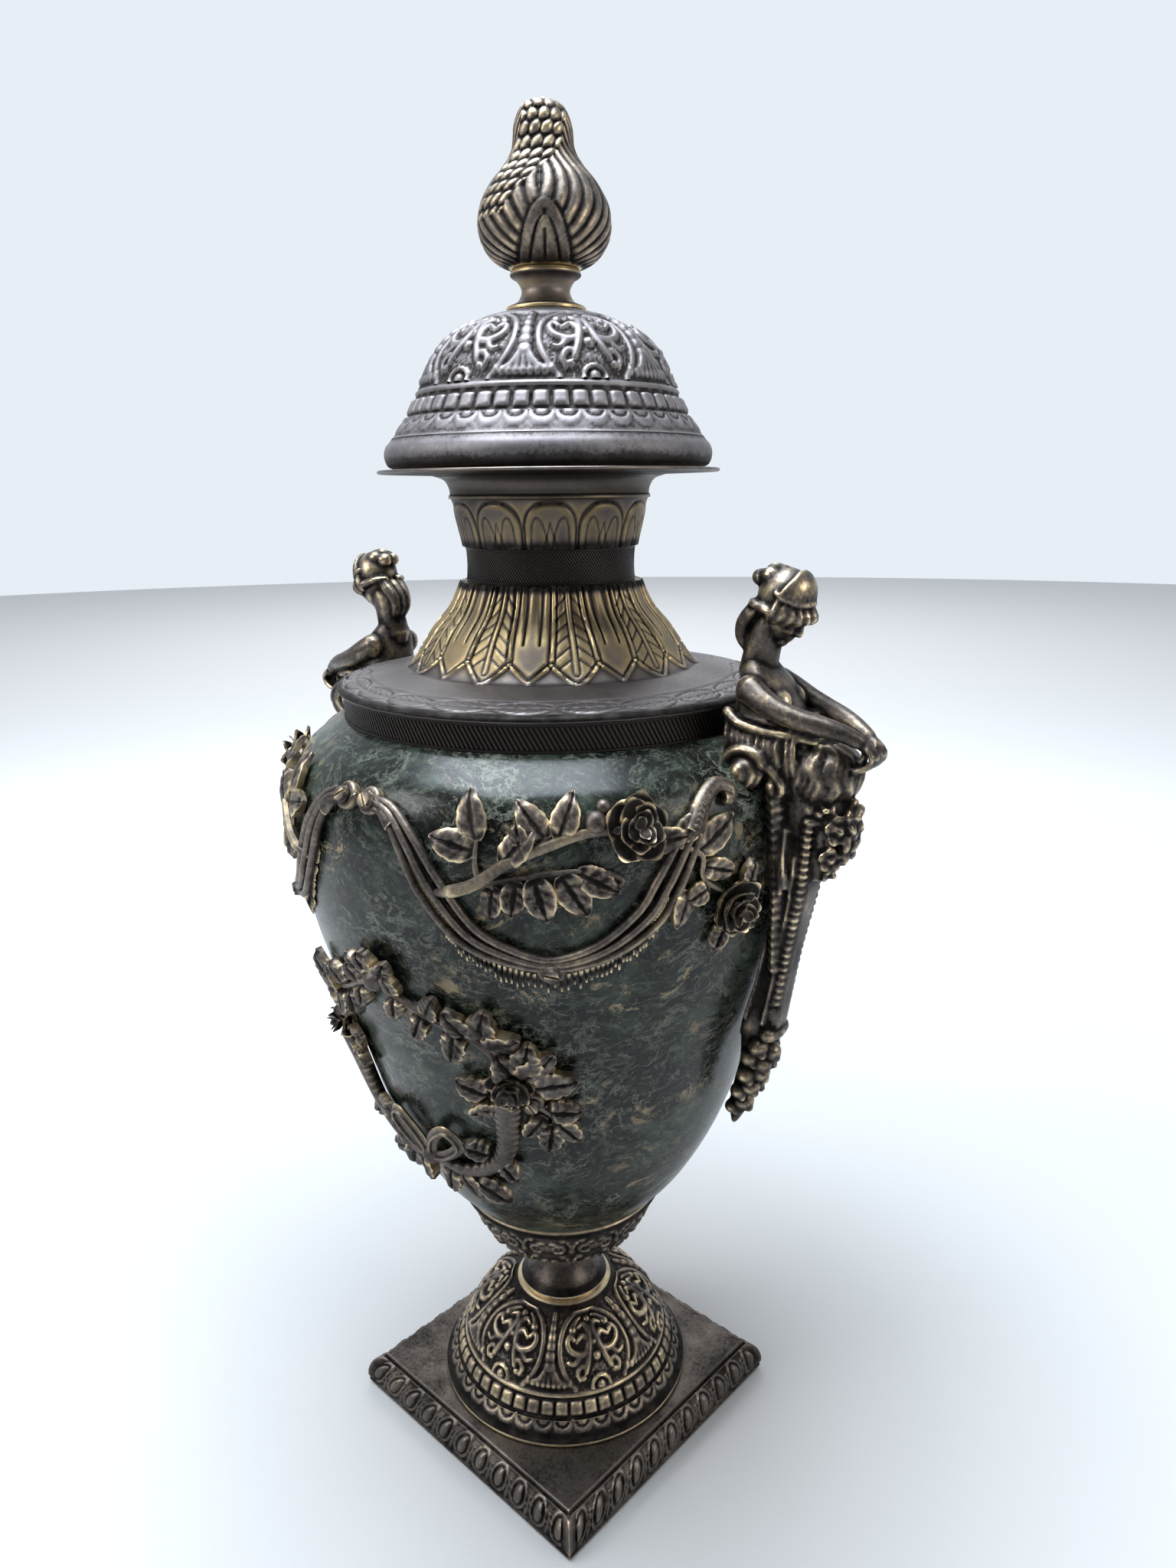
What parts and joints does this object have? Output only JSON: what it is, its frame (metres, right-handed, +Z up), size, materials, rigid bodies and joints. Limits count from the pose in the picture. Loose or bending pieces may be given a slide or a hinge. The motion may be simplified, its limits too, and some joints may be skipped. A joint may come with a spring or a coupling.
{
  "type": "mantel urn",
  "caption": "Tall lidded mantel urn: green marble body with bronze figure handles, rose swags, wreaths and a flame finial, on a domed foot and square plinth.",
  "frame": {"origin": "middle of the plinth's underside, on the urn's axis", "axes": "+Z up along the urn's axis, -Y the front with a wreath, +X and -X the two handles"},
  "size_m": [0.3394, 0.2572, 0.66],
  "materials": {
    "bronze": "dark brown patina, rubbed to brass on the high points",
    "worn_brass": "worn brass with dark recesses",
    "hatched_band": "near-black patina over fine diagonal lines",
    "marble": "polished dark green marble with tan and pale green flecks"
  },
  "bodies": {
    "root": {"plinth": "bronze", "foot_dome": "bronze", "foot_stem": "bronze", "base_cup": "bronze", "marble_body": "marble", "body_collar": "hatched_band", "shoulder_cover": "bronze", "neck_band": "hatched_band", "neck_flare": "worn_brass", "lid": "bronze", "finial_spool": "worn_brass", "finial": "bronze", "handle_right": "bronze", "handle_left": "bronze", "wreath_front": "bronze", "wreath_back": "bronze", "swag_front_right": "bronze", "screw_front_right_end": "worn_brass", "screw_front_right_low": "worn_brass", "screw_front_right_wreath": "worn_brass", "swag_front_left": "bronze", "screw_front_left_end": "worn_brass", "screw_front_left_low": "worn_brass", "screw_front_left_wreath": "worn_brass", "swag_back_right": "bronze", "screw_back_right_end": "worn_brass", "screw_back_right_low": "worn_brass", "screw_back_right_wreath": "worn_brass", "swag_back_left": "bronze", "screw_back_left_end": "worn_brass", "screw_back_left_low": "worn_brass", "screw_back_left_wreath": "worn_brass"}
  },
  "joints": []
}
